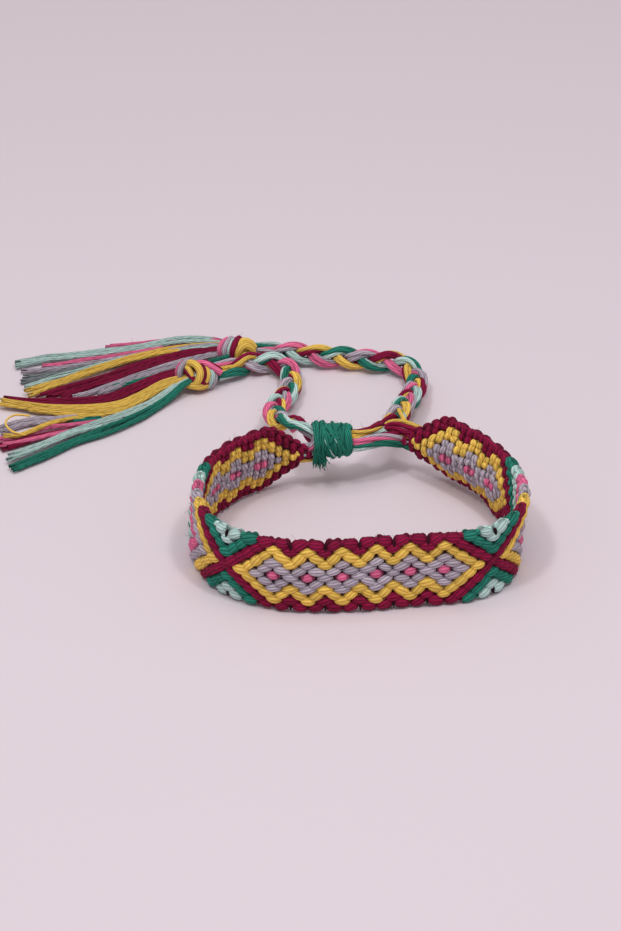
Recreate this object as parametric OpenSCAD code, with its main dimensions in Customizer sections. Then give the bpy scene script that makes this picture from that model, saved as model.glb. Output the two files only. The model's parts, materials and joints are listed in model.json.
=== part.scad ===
// Friendship bracelet. A flat band is knotted from twelve cotton strings, with a pointed tip at
// each end. From each tip the strings run on as a three-strand plait. The two plaits pass each
// other inside a wound sliding knot, and each ends in an overhand knot and a loose tassel.
// The band stands on its edge, and the plaits and tassels come down to the surface behind it.

/* [Band] */
// Distance between two knots side by side, across the band
column_pitch = 2.5; // [2:0.1:3]
// Distance from one row of knots to the next, along the band
row_pitch = 1.5; // [1.2:0.05:1.8]
// Rows of knots from the middle of the front to each tip
rows_to_tip = 48; // [44:1:52]
// Thickness of the knotted band, from face to face
band_t = 2; // [1.6:0.1:2.6]
// How far a knot stands out from the gaps around it
knot_relief = 0.3; // [0.1:0.05:0.5]
// How far the edge steps in on every second row
edge_scallop = 0.45; // [0.2:0.05:0.8]
// Height of the cut-off end of each tip
tip_h = 3.8; // [3:0.1:5]

/* [Ties] */
// Thickness of each strand of a plait
strand_d = 1.4; // [1:0.05:1.8]
// Thickness of a strand where it is pulled tight, at the tips and in the sliding knot
tight_d = 0.9; // [0.7:0.05:1.1]
// Clearance from one strand to the next
strand_gap = 0.2; // [0.15:0.05:0.4]

/* [Sliding knot] */
// Length of the sliding knot along the strands
slide_len = 7; // [6:0.2:10]
// Thickness of the string that it is wound from
wrap_d = 1; // [0.8:0.05:1.4]
// Height of its middle above the middle of the band
slide_rise = 1.3; // [0.8:0.1:2]

/* [Tassels] */
// Diameter of the overhand knot at the head of each tassel
head_d = 5.4; // [4.5:0.1:6.5]
// Thickness of the string that the overhand knot is tied with
head_wrap_d = 1.9; // [1.5:0.1:2.2]
// Thickness of a lock of the tassel
lock_d = 1.4; // [1:0.1:1.8]

/* [Hidden] */

burgundy = "#8a0f3f";
yellow = "#e8b83f";
mint = "#a9dccb";
pink = "#d83b78";
green = "#0e7a55";

// The band
knots_across = 6;
band_w = knots_across * column_pitch;
band_z = band_w / 2;
tip_end = 0.2;  // rows that the tip runs on past its last knot
front_mid = [8.5, -48];

// Each half of the band, from the middle of the front to the tip
// Columns: share of the way, heading in degrees from straight outward, inward lean in degrees of
// the upper and of the lower part
left_half = [
    [0.00, -12, 4, 0], [0.12, 0, 5, -4], [0.31, 31, 7, -8], [0.46, 72, 7, -9], [0.55, 90, 6, 0],
    [0.80, 137, 0, 14], [1.00, 166, 0, 26]
];
right_half = [
    [0.00, 10, 4, 4], [0.22, 5, 0, 0], [0.31, 30, 0, 0], [0.47, 81, -9, -2], [0.55, 98, -13, 2],
    [0.71, 121, -18, 16], [0.80, 134, -27, 34], [1.00, 141, -32, 38]
];
bend_w = column_pitch;  // to each side of the middle, where the band bends from one lean to the other

// The plait: its width and thickness follow from the strands that it is made of
strand_step = strand_d + strand_gap;
plait_wide = 1.05 * strand_step;
plait_thick = 0.72 * strand_step;
plait_square = 0.2 * plait_thick;  // makes a strand change sides more sharply between crossings
plait_turn = 9 * strand_step;
tight_step = tight_d + strand_gap + 0.15;
tight_layer = tight_step + 0.25;  // from one tie to the other inside the sliding knot
ring_step = 1.3;
strand_sides = 8;
spline_steps = 8;
seat_gap = 0.3;
tie_bow = 0.6;  // how far the right tie bows back between its tip and the sliding knot

// The sliding knot
bore_r = norm([tight_step, tight_layer / 2]) + tight_d / 2 + 1.8 * strand_gap;
slide_z = band_z + slide_rise;
slide_stand_off = [2.4, 2];  // from the left tip to the near end of the sliding knot
wraps = round(slide_len / wrap_d);
wrap_pitch = slide_len / wraps;
knot_lump = 0.45;
slide_steps = 10;  // pieces of a route along the sliding knot, where the ties make half a turn
slide_lead = 0.5;  // how far the ties run straight before the sliding knot

lie_z = plait_thick + plait_square + strand_d / 2;

// The ties beyond the sliding knot
// Columns: x and y from the middle of the sliding knot, height as a share of the way from lying
// flat to the sliding knot, roll of the plait in degrees, plaited (1) or side by side (0)
left_route = [
    [6.4, 2.4, 0.97, -95, 0.1], [9.4, 5.6, 0.88, -135, 1], [10.8, 10.4, 0.74, -170, 1],
    [12.3, 16.9, 0.57, -180, 1], [14.1, 23.8, 0.33, -180, 1], [15.3, 30, 0.13, -180, 1],
    [15.2, 34.5, 0.02, -190, 1], [13.6, 38, 0.04, -215, 1], [10.6, 40, 0.06, -235, 1],
    [6.5, 40.4, 0.07, -245, 1], [1, 41.6, 0.07, -245, 1], [-4, 42.2, 0.07, -245, 1],
    [-8.8, 43.3, 0.07, -245, 1], [-13.2, 44, 0.05, -230, 1], [-16.1, 44, 0.05, -210, 0]
];
right_route = [
    [-5.5, 2.8, 1.03, -100, 0.3], [-7.9, 6.5, 0.97, -140, 1], [-10.5, 10, 0.74, -170, 1],
    [-11.8, 15.3, 0.5, -180, 1], [-11.2, 21.2, 0.29, -180, 1], [-9.5, 26.8, 0.13, -180, 1],
    [-8.7, 32.2, 0, -180, 1], [-9, 36.2, 0.03, -195, 1], [-10.6, 38.8, 0.05, -220, 1],
    [-13.3, 39.7, 0.07, -240, 1], [-16.9, 39.3, 0.07, -240, 1], [-20.4, 37.5, 0.07, -230, 1],
    [-23.4, 35.9, 0.05, -210, 0]
];

// The locks of each tassel, from the head outward
// Columns: x and y of the tip from the middle of the head, sideways bow, thickness as a share
far_locks = [
    [-25.5, 4.9, 3, 0.7], [-42.5, -1, 4, 1], [-41, -5, 3, 1], [-40, -10.6, 4, 1],
    [-39, -12.6, 3.2, 1.1], [-36.5, -13.1, 3.2, 1.1], [-31, -12.8, 2, 1], [-23, -7.5, 1, 0.9]
];
near_locks = [
    [-39, -3, -4.2, 1.1], [-38.4, -4.7, -5.6, 1.2], [-35.6, -17.8, 1, 0.8], [-33, -15.5, 2.4, 0.9],
    [-37.6, -19.4, -2, 1], [-35.2, -25.2, -0.8, 1.1], [-33.6, -30.3, -1, 1.2]
];
lock_steps = 6;
lock_falls = 0.3;  // share of a lock's length in which it comes down to the surface

// General functions
function mix(a, b, t) = a + (b - a) * t;
function unit(v) = v / norm(v);
function column(table, c) = [for (row = table) [row[0], row[c]]];
function picked(points, c) = [for (p = points) p[c]];

// The band's path, seen from above
function half_table(side) = side < 0 ? left_half : right_half;
function heading(side, share) = lookup(share, column(half_table(side), 1));
function lean(row, part) =
    lookup(abs(row) / rows_to_tip, column(half_table(row < 0 ? -1 : 1), part > 0 ? 2 : 3));
function outward(side, share) = [side * cos(heading(side, share)), sin(heading(side, share))];
function half_path(side) = [
    for (
        i = 0, p = front_mid;
        i <= rows_to_tip;
        p = p + row_pitch * outward(side, (i + 0.5) / rows_to_tip), i = i + 1
    ) p
];
left_path = half_path(-1);
right_path = half_path(1);
function along(row) = row < 0 ? -outward(-1, -row / rows_to_tip) : outward(1, row / rows_to_tip);
function path_point(row) =
    abs(row) > rows_to_tip
        ? path_point(sign(row) * rows_to_tip)
            + sign(row) * (abs(row) - rows_to_tip) * row_pitch * along(sign(row) * rows_to_tip)
        : row < 0 ? left_path[-row] : right_path[row];

// One section across the band: its half width, and how thick it is at each half column
function half_width(row) =
    let (room = tip_h / 2 + (rows_to_tip + tip_end - abs(row)) * column_pitch / 2)
    min(band_w / 2 - (row % 2 == 0 ? edge_scallop : 0), room);
function is_knot(row, k) = (abs(row) + abs(k)) % 2 == 0;
function half_thick(row, k) =
    abs(k) == knots_across ? 0
    : band_t / 2 - (is_knot(row, k) || abs(row) > rows_to_tip ? 0 : knot_relief);
function band_point(row, k, face) =
    let (
        ahead = along(row),
        inward = [-ahead[1], ahead[0]],
        across = k / knots_across * half_width(row),
        bend = abs(across) / bend_w,
        middle = (lean(row, 1) + lean(row, -1)) / 2,
        turn = lean(row, k) - middle,
        tilt = middle + turn * min(bend, 1),
        reach = middle + turn * (bend < 1 ? bend / 2 : 1 - 1 / (2 * bend)),
        off = -face * half_thick(row, k),
        plan = path_point(row) + inward * (across * sin(reach) + off * cos(tilt))
    )
    [plan[0], plan[1], band_z + across * cos(reach) - off * sin(tilt)];
function band_section(row) = concat(
    [for (k = [-knots_across : knots_across]) band_point(row, k, -1)],
    [for (k = [knots_across - 1 : -1 : 1 - knots_across]) band_point(row, k, 1)]
);
band_rows = concat(
    [-rows_to_tip - tip_end], [for (row = [-rows_to_tip : rows_to_tip]) row], [rows_to_tip + tip_end]
);
band_sections = [for (row = band_rows) band_section(row)];

// A closed skin over a list of sections that have the same number of points each
function flat(lists) = [for (l = lists) each l];
function skin_faces(rings, points) = concat(
    [[for (k = [0 : points - 1]) k]],
    [for (i = [0 : rings - 2], k = [0 : points - 1])
        let (a = i * points + k, b = i * points + (k + 1) % points)
        each ((i + k) % 2 == 0
            ? [[a, a + points, b], [b, a + points, b + points]]
            : [[a, a + points, b + points], [a, b + points, b]])],
    [[for (k = [points - 1 : -1 : 0]) (rings - 1) * points + k]]
);
module skin(sections) {
    polyhedron(flat(sections), skin_faces(len(sections), len(sections[0])));
}

// The tips and the sliding knot
left_tip = path_point(-rows_to_tip - tip_end);
right_tip = path_point(rows_to_tip + tip_end);
slide_at = left_tip + slide_stand_off + [slide_len / 2, 0];

// The route of a tie: five columns as above, with its real height in the third, and a sixth for
// how far the strands lie beside it, so that the ties can pass each other
function lifted(row) = [
    slide_at[0] + row[0], slide_at[1] + row[1], mix(lie_z, slide_z, row[2]), row[3], row[4], 0
];
function inside_slide(side) = [
    for (j = [0 : slide_steps])
        let (share = (j - 1) / (slide_steps - 2))
        [
            slide_at[0] + side * (slide_len + 2 * slide_lead) * (j / slide_steps - 0.5),
            slide_at[1], slide_z, 90 - 180 * min(max(share, 0), 1), 0, side * tight_layer / 2
        ]
];
function from_tip(tip, ahead, reach) = [
    tip[0] + ahead[0] * reach, tip[1] + ahead[1] * reach, band_z, 90, 0, 0
];
function half_way(tip, mouth, bow) = [
    (tip[0] + mouth[0]) / 2, (tip[1] + mouth[1]) / 2 + bow, (band_z + mouth[2]) / 2, 90, 0, 0
];
left_ahead = -along(-rows_to_tip);
right_ahead = along(rows_to_tip);
left_tie = concat(
    [for (reach = [2.6 * seat_gap, 4 * seat_gap]) from_tip(left_tip, left_ahead, reach)],
    inside_slide(1),
    [for (row = left_route) lifted(row)]
);
right_tie = concat(
    [for (reach = [1.6 * seat_gap, 4 * seat_gap]) from_tip(right_tip, right_ahead, reach)],
    [half_way(right_tip, inside_slide(-1)[0], tie_bow)],
    inside_slide(-1),
    [for (row = right_route) lifted(row)]
);

// A smooth line through the points of a route, cut into equal steps along its length
function curve(a, b, c, d, t) =
    0.5 * (2 * b + (c - a) * t + (2 * a - 5 * b + 4 * c - d) * t * t
        + (3 * b - 3 * c + d - a) * t * t * t);
function smooth(route) =
    let (n = len(route))
    concat(
        [for (i = [0 : n - 2], j = [0 : spline_steps - 1])
            curve(
                route[max(i - 1, 0)], route[i], route[i + 1], route[min(i + 2, n - 1)],
                j / spline_steps
            )],
        [route[n - 1]]
    );
function place(p) = [p[0], p[1], p[2]];
function running(points) = [
    for (
        i = 0, s = 0;
        i < len(points);
        s = s + (i + 1 < len(points) ? norm(place(points[i + 1]) - place(points[i])) : 0), i = i + 1
    ) s
];
function stepped(points) =
    let (
        lengths = running(points),
        total = lengths[len(lengths) - 1],
        steps = ceil(total / ring_step),
        tables = [for (c = [0 : 5]) [for (i = [0 : len(points) - 1]) [lengths[i], points[i][c]]]]
    )
    [for (i = [0 : steps]) [for (table = tables) lookup(total * i / steps, table)]];

// One strand's middle line: across the plait it swings from side to side, and over and under
function plaited(line) = [for (i = [0 : len(line) - 1]) if (line[i][4] > 0.99) i];
function twist(line, i) =
    let (
        on = plaited(line),
        first = on[0],
        last = on[len(on) - 1],
        turns = round(6 * (last - first) * ring_step / plait_turn) / 6
    )
    360 * turns * min(max((i - first) / (last - first), 0), 1);
function strand_point(line, i, strand) =
    let (
        p = line[i],
        ahead = unit(place(line[min(i + 1, len(line) - 1)]) - place(line[max(i - 1, 0)])),
        level = unit(cross([0, 0, 1], ahead)),
        up = cross(ahead, level),
        wide = level * cos(p[3]) + up * sin(p[3]),
        thick = up * cos(p[3]) - level * sin(p[3]),
        turn = twist(line, i) + 120 * strand,
        share = min(max(p[4], 0), 1)
    )
    place(p)
        + wide * mix(tight_step / sin(60), plait_wide, share) * sin(turn)
        + thick * (share * (plait_thick * sin(2 * turn) + plait_square * sin(4 * turn)) + p[5]);
function strand_ring(path, i, r) =
    let (
        ahead = unit(path[min(i + 1, len(path) - 1)] - path[max(i - 1, 0)]),
        level = unit(cross([0, 0, 1], ahead)),
        up = cross(ahead, level)
    )
    [for (a = [0 : strand_sides - 1])
        path[i] + r * (level * cos(360 * a / strand_sides) + up * sin(360 * a / strand_sides))];
module strand(route, number) {
    line = stepped(smooth(route));
    path = [for (i = [0 : len(line) - 1]) strand_point(line, i, number)];
    skin([
        for (i = [0 : len(line) - 1])
            strand_ring(path, i, mix(tight_d, strand_d, min(max(line[i][4], 0), 1)) / 2)
    ]);
}

// The head of a tassel sits at the end of its tie
function route_end(route) =
    let (n = len(route), ahead = unit(place(route[n - 1]) - place(route[n - 2])))
    place(route[n - 1]) + (head_d / 2 + seat_gap) * [ahead[0], ahead[1], 0];
function head_at(route) =
    let (end = route_end(route))
    [end[0], end[1], head_d / 2];
function turned_from(route) =
    let (n = len(route), ahead = place(route[n - 1]) - place(route[n - 2]))
    atan2(ahead[1], ahead[0]);
function lock_point(head, lock, u) =
    let (
        r = lock_d * lock[3] / 2,
        tip = [lock[0], lock[1]],
        sideways = unit([-tip[1], tip[0]]),
        plan = tip * u + sideways * -lock[2] * 4 * u * (1 - u),
        drop = max(1 - u / lock_falls, 0)
    )
    [head[0] + plan[0], head[1] + plan[1], r + (head[2] - r) * drop * drop];
module lock(head, row) {
    r = lock_d * row[3] / 2;
    for (i = [0 : lock_steps - 1]) {
        hull() {
            translate(lock_point(head, row, i / lock_steps)) sphere(r, $fn = 6);
            translate(lock_point(head, row, (i + 1) / lock_steps)) sphere(r, $fn = 6);
        }
    }
}
module overhand_knot(angle) {
    ring_r = (head_d - head_wrap_d) / 2;
    rotate([0, 0, angle]) {
        sphere(ring_r, $fn = 12);
        for (tilt = [-35, 35]) {
            rotate([tilt, 90, 0])
                rotate_extrude($fn = 12) translate([ring_r, 0]) circle(head_wrap_d / 2, $fn = 8);
        }
    }
}
module tassel(route, locks) {
    head = head_at(route);
    union() {
        translate(head) overhand_knot(turned_from(route));
        for (row = locks) lock(head, row);
    }
}

// The sliding knot: a wound sleeve, a lump where the winding is tied off and a tuft below it
// Columns: x, y and z of each end of the tuft from the middle of the lump
tuft_ends = [[-0.6, -3.6, -3], [0.2, -3.9, -3.8], [0.9, -3.8, -3.3], [1.6, -3.7, -2.6]];
module sleeve_profile() {
    difference() {
        union() {
            translate([bore_r, 0]) square([wrap_d / 2, slide_len]);
            for (i = [0 : wraps - 1]) {
                translate([bore_r + wrap_d / 2 + (i == 0 ? knot_lump / 2 : 0), (i + 0.5) * wrap_pitch])
                    circle(wrap_d / 2 + (i == 0 ? knot_lump / 2 : 0), $fn = 8);
            }
        }
        translate([0, -slide_len]) square([bore_r, 3 * slide_len]);
    }
}
module sliding_knot() {
    out = bore_r + wrap_d / 2;
    start = [slide_at[0] - slide_len / 2 + wrap_pitch, slide_at[1], slide_z];
    union() {
        translate([slide_at[0] - slide_len / 2, slide_at[1], slide_z])
            rotate([0, 90, 0]) rotate_extrude($fn = 18) sleeve_profile();
        for (end = tuft_ends) {
            hull() {
                translate(start + out * [0, -cos(20), -sin(20)]) sphere(0.6, $fn = 8);
                translate(start + [end[0] / 2, end[1] * 0.95, end[2] / 2]) sphere(0.5, $fn = 8);
            }
            hull() {
                translate(start + [end[0] / 2, end[1] * 0.95, end[2] / 2]) sphere(0.5, $fn = 8);
                translate(start + end) sphere(0.4, $fn = 8);
            }
        }
    }
}

// The origin is the middle of the bracelet's outline, seen from above, on the surface
band_points = flat(band_sections);
far_tip_x = min([for (row = far_locks) head_at(left_tie)[0] + row[0] - lock_d * row[3] / 2]);
near_tip_x = min([for (row = near_locks) head_at(right_tie)[0] + row[0] - lock_d * row[3] / 2]);
low_x = min(far_tip_x, near_tip_x);
high_x = max(picked(band_points, 0));
low_y = min(picked(band_points, 1));
high_y = max([
    for (row = far_locks, i = [0 : lock_steps])
        lock_point(head_at(left_tie), row, i / lock_steps)[1] + lock_d * row[3] / 2
]);
module placed() {
    translate([-(low_x + high_x) / 2, -(low_y + high_y) / 2, 0]) children();
}

module woven_band() { color(burgundy) placed() skin(band_sections); }
module left_tie_strand_1() { color(yellow) placed() strand(left_tie, 2); }
module left_tie_strand_2() { color(pink) placed() strand(left_tie, 1); }
module left_tie_strand_3() { color(mint) placed() strand(left_tie, 0); }
module right_tie_strand_1() { color(yellow) placed() strand(right_tie, 1); }
module right_tie_strand_2() { color(pink) placed() strand(right_tie, 0); }
module right_tie_strand_3() { color(mint) placed() strand(right_tie, 2); }
module slide_knot() { color(green) placed() sliding_knot(); }
module far_tassel() { color(mint) placed() tassel(left_tie, far_locks); }
module near_tassel() { color(yellow) placed() tassel(right_tie, near_locks); }

woven_band();
left_tie_strand_1();
left_tie_strand_2();
left_tie_strand_3();
right_tie_strand_1();
right_tie_strand_2();
right_tie_strand_3();
slide_knot();
far_tassel();
near_tassel();
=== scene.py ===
# Looks of a knotted friendship bracelet: the band's knots, the plaited ties, the wound sliding
# knot and the loose tassels, all cotton floss around the solids of the frame.
import json
import math

import bpy
import numpy as np
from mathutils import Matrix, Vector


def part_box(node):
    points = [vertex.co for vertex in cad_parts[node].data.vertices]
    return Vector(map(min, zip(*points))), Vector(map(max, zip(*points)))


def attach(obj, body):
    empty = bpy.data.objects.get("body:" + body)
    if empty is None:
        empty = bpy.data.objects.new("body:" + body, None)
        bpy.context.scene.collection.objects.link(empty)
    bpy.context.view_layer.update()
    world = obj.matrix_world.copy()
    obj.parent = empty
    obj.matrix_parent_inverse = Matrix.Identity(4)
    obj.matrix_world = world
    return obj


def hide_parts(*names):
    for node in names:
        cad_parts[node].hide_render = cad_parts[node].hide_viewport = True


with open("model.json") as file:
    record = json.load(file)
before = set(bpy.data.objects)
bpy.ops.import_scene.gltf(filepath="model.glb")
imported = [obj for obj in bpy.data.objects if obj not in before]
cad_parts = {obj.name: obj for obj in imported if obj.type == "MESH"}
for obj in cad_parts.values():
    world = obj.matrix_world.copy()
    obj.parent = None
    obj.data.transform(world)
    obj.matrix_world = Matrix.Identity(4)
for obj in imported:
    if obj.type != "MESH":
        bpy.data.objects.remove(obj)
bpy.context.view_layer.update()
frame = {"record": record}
frameSlot = {entry["node"]: entry["material_slot"] for entry in frame["record"]["subparts"]}
mm = 0.001
chance = np.random.default_rng(12)
print("frame loaded")


# General helpers
def deselectAll():
    bpy.ops.object.select_all(action="DESELECT")


def unit(v):
    return v / np.linalg.norm(v, axis=-1, keepdims=True)


def mix(a, b, t):
    return a + (b - a) * t


def linear(hexColour):
    channels = [int(hexColour[i:i + 2], 16) / 255 for i in (1, 3, 5)]
    lit = [c / 12.92 if c < 0.04045 else ((c + 0.055) / 1.055) ** 2.4 for c in channels]
    return (*lit, 1)


# settings are the node's values by socket or property, links are {socket: (node, output)}
def addNode(material, kind, settings=None, links=None):
    tree = material.node_tree
    node = tree.nodes.new(kind)
    for key, value in (settings or {}).items():
        if isinstance(key, int) or key in node.inputs:
            node.inputs[key].default_value = value
        else:
            setattr(node, key, value)
    for key, (source, output) in (links or {}).items():
        tree.links.new(source.outputs[output], node.inputs[key])
    return node


# Materials: mercerised cotton floss. Six soft plies are twisted together, so a string shows fine
# slanting grooves, a faint silky sheen along the plies and short loose fibres between them.
# Each colour has a lit shade and a darker shade that is painted into the grooves deep between the
# plies.
flossLooks = {
    "burgundy": ("#960c42", "#4c0420"),
    "yellow": ("#ffd868", "#d09834"),
    "grey": ("#cbc0cd", "#7c7280"),
    "pink": ("#f87ca6", "#c04878"),
    "mint": ("#cdeae4", "#86ada6"),
    "green": ("#2a8c78", "#0a4b3e"),
    # a dark grey-green colour for painted shade between the far tassel's strings
    "slate": ("#8d9799", "#4a5153"),
    # shadow is a near-black colour for painted shade: the core wall and the edge slits
    "shadow": ("#35101f", "#12040a"),
}
flossWeave = {
    "plyTwist": 0.42,  # plies that pass a fixed point for each millimetre of string
    "fibresPerPly": 5,
    "fibreDetail": 3.0,
    "fibreRoughness": 0.65,
    "fibreHeight": 0.8,  # a ply's own height is 1
    "shadedHeights": (0.3, 1.25),  # heights with the deep and with the lit shade
    "grooveDepth": 0.09,  # millimetres
    "grooveStrength": 0.9,
    "tones": (0.82, 1.12),  # the darkest and the lightest string of a colour
    "roughness": 0.85,
    "specular": 0.25,
    "sheen": 0.1,
    "sheenRoughness": 0.45,
    # the painted shade deep between the strings, as the share of the colour that is kept
    "paintedCreviceShade": 0.3,  # how much of the light reaches the places deep between the strings
}


def flossMaterial(colour):
    light, deep = flossLooks[colour]
    material = bpy.data.materials.new(colour + "CottonFloss")
    material.use_nodes = True
    material.node_tree.nodes.clear()
    # The UV map counts plies round the string and millimetres along it
    uv = addNode(material, "ShaderNodeUVMap", {"uv_map": "floss"})
    parts = addNode(material, "ShaderNodeSeparateXYZ", links={"Vector": (uv, "UV")})
    along = addNode(
        material, "ShaderNodeMath", {"operation": "MULTIPLY", 1: flossWeave["plyTwist"]},
        {0: (parts, "Y")},
    )
    turned = addNode(
        material, "ShaderNodeMath", {"operation": "ADD"}, {0: (parts, "X"), 1: (along, 0)}
    )
    phase = addNode(
        material, "ShaderNodeMath", {"operation": "MULTIPLY", 1: math.pi}, {0: (turned, 0)}
    )
    wave = addNode(material, "ShaderNodeMath", {"operation": "SINE"}, {0: (phase, 0)})
    ply = addNode(material, "ShaderNodeMath", {"operation": "ABSOLUTE"}, {0: (wave, 0)})
    tint = addNode(material, "ShaderNodeAttribute", {"attribute_name": "tint"})
    spread = addNode(
        material, "ShaderNodeMath", {"operation": "MULTIPLY", 1: flossWeave["fibresPerPly"]},
        {0: (turned, 0)},
    )
    stretched = addNode(
        material, "ShaderNodeCombineXYZ",
        links={"X": (spread, 0), "Y": (parts, "Y"), "Z": (tint, "Fac")},
    )
    fibres = addNode(
        material, "ShaderNodeTexNoise",
        {
            "Scale": 1.0, "Detail": flossWeave["fibreDetail"],
            "Roughness": flossWeave["fibreRoughness"],
        },
        {"Vector": (stretched, 0)},
    )
    height = addNode(
        material, "ShaderNodeMath", {"operation": "MULTIPLY_ADD", 1: flossWeave["fibreHeight"]},
        {0: (fibres, 0), 2: (ply, 0)},
    )
    lowest, highest = flossWeave["shadedHeights"]
    groove = addNode(
        material, "ShaderNodeMapRange", {"From Min": lowest, "From Max": highest},
        {"Value": (height, 0)},
    )
    # Painted shade: the grooves between the plies get the deep colour and the ply tops the lit one
    shade = addNode(
        material, "ShaderNodeMix", {"data_type": "RGBA", 6: linear(deep), 7: linear(light)},
        {0: (groove, 0)},
    )
    # Each string takes the dye a little differently
    darkest, lightest = flossWeave["tones"]
    tone = addNode(
        material, "ShaderNodeMapRange", {"To Min": darkest, "To Max": lightest},
        {"Value": (tint, "Fac")},
    )
    # Painted shade: deep between the strings, where hardly any light comes back, the colour is
    # darkened by the open attribute
    openness = addNode(material, "ShaderNodeAttribute", {"attribute_name": "open"})
    lit = addNode(
        material, "ShaderNodeMapRange", {"To Min": flossWeave["paintedCreviceShade"]},
        {"Value": (openness, "Fac")},
    )
    value = addNode(
        material, "ShaderNodeMath", {"operation": "MULTIPLY"}, {0: (tone, 0), 1: (lit, 0)}
    )
    dyed = addNode(
        material, "ShaderNodeHueSaturation", links={"Value": (value, 0), "Color": (shade, 2)}
    )
    bump = addNode(
        material, "ShaderNodeBump",
        {"Strength": flossWeave["grooveStrength"], "Distance": flossWeave["grooveDepth"] * mm},
        {"Height": (height, 0)},
    )
    shader = addNode(
        material, "ShaderNodeBsdfPrincipled",
        {
            "Roughness": flossWeave["roughness"], "Specular IOR Level": flossWeave["specular"],
            "Sheen Weight": flossWeave["sheen"], "Sheen Roughness": flossWeave["sheenRoughness"],
            "Sheen Tint": linear(light),
        },
        {"Base Color": (dyed, 0), "Normal": (bump, 0)},
    )
    addNode(material, "ShaderNodeOutputMaterial", links={"Surface": (shader, 0)})
    return material


floss = {colour: flossMaterial(colour) for colour in flossLooks}
print("materials ready")


# A piece is put together from many small parts, each with its points, faces, floss coordinates,
# colour, tint, and how open each point lies to the light, which darkens the colour as painted shade
class Skein:
    def __init__(self):
        self.points, self.faces, self.floss, self.colours = [], [], [], []
        self.tints, self.opens = [], []
        self.count = 0

    def add(self, points, faces, uvs, colour, tint, openness):
        self.points.append(np.asarray(points, float))
        self.faces.extend([[i + self.count for i in face] for face in faces])
        self.floss.append(np.asarray(uvs, float))
        self.colours.extend([colour] * len(faces))
        self.tints.append(np.full(len(points), tint))
        self.opens.append(np.broadcast_to(np.clip(openness, 0, 1), len(points)))
        self.count += len(points)

    def piece(self, name, slot, *nodes):
        mesh = bpy.data.meshes.new(name)
        mesh.from_pydata((np.concatenate(self.points) * mm).tolist(), [], self.faces)
        mesh.uv_layers.new(name="floss")
        mesh.uv_layers["floss"].data.foreach_set("uv", np.concatenate(self.floss).ravel())
        for attribute, values in (("tint", self.tints), ("open", self.opens)):
            data = mesh.attributes.new(attribute, "FLOAT", "POINT").data
            data.foreach_set("value", np.concatenate(values))
        used = sorted(set(self.colours))
        for colour in used:
            mesh.materials.append(floss[colour])
        mesh.polygons.foreach_set("material_index", [used.index(c) for c in self.colours])
        mesh.polygons.foreach_set("use_smooth", [True] * len(self.faces))
        mesh.update()
        piece = bpy.data.objects.new(name, mesh)
        bpy.context.collection.objects.link(piece)
        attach(piece, "root")
        if nodes:
            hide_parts(*nodes)


# A closed tube over rings of points: rings is an array of rings by points by three
def tube(skein, rings, lengths, plies, colour, openness=1.0):
    count, sides = rings.shape[:2]
    faces, uvs = [], []
    for i in range(count - 1):
        for k in range(sides):
            a, b = i * sides + k, i * sides + (k + 1) % sides
            faces.append([a, b, b + sides, a + sides])
            left, right = plies * k / sides, plies * (k + 1) / sides
            uvs += [(left, lengths[i]), (right, lengths[i])]
            uvs += [(right, lengths[i + 1]), (left, lengths[i + 1])]
    last = (count - 1) * sides
    faces.append(list(range(sides))[::-1])
    faces.append([last + k for k in range(sides)])
    uvs += [(0.5, lengths[0])] * sides + [(0.5, lengths[-1])] * sides
    points = rings.reshape(-1, 3)
    skein.add(points, faces, uvs, colour, chance.uniform(0, 1), np.ravel(openness))


# The directions ahead, sideways and up along a path, turned as little as the path allows
def carriedFrames(path):
    ahead = unit(np.gradient(path, axis=0))
    side = np.cross(ahead[0], (0.0, 0.0, 1.0))
    if np.linalg.norm(side) < 0.1:  # the path starts upright
        side = np.array([1.0, 0.0, 0.0])
    sides = []
    for direction in ahead:
        side = unit(side - direction * side.dot(direction))
        sides.append(side)
    sides = np.array(sides)
    return ahead, sides, np.cross(ahead, sides)


def lengthsOf(path):
    return np.concatenate([[0], np.cumsum(np.linalg.norm(np.diff(path, axis=0), axis=1))])


# Painted shade: how much light reaches a string or a knot at its middle, and how much more on its
# outer side; the colour is darkened by it
lightReach = {
    "string": 0.5, "stringOutside": 0.75, "knot": 0.38, "knotOutside": 1.1,
    # the knot's rim gets painted shade
    "rimFrom": 0.85, "rimLoss": 0.3,  # a knot's rim lies deep between its neighbours
}
# The twist of each string or knot starts anywhere within so many millimetres
twistStart = {"string": 20, "knot": 30}


# A round string along a path in the layout's millimetres. radius is one number or one for each
# point. Where the string lies in a bundle, outside points away from the bundle's middle, and the
# string's inner side is darkened as painted shade.
def string(skein, path, radius, colour, sides=8, plies=6, outside=None):
    path = placed(path)
    _, side, up = carriedFrames(path)
    radius = np.broadcast_to(np.asarray(radius, float), len(path))
    turn = np.linspace(0, 2 * math.pi, sides, endpoint=False)
    ring = np.cos(turn)[:, None] * side[:, None, :] + np.sin(turn)[:, None] * up[:, None, :]
    openness = 1.0
    if outside is not None:
        away = np.einsum("ikc,ic->ik", ring, outside)
        openness = lightReach["string"] + lightReach["stringOutside"] * away
    lengths = lengthsOf(path) + chance.uniform(0, twistStart["string"])
    rings = path[:, None, :] + ring * radius[:, None, None]
    tube(skein, rings, lengths, plies, colour, openness)


# A smooth line through given points, with so many steps between two of them
def throughPoints(points, steps=8):
    points = np.asarray(points, float)
    line = []
    for i in range(len(points) - 1):
        a, b = points[max(i - 1, 0)], points[i]
        c, d = points[i + 1], points[min(i + 2, len(points) - 1)]
        for t in np.arange(steps) / steps:
            line.append(
                0.5 * (2 * b + (c - a) * t + (2 * a - 5 * b + 4 * c - d) * t ** 2
                       + (3 * b - 3 * c + d - a) * t ** 3)
            )
    line.append(points[-1])
    return np.array(line)


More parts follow.
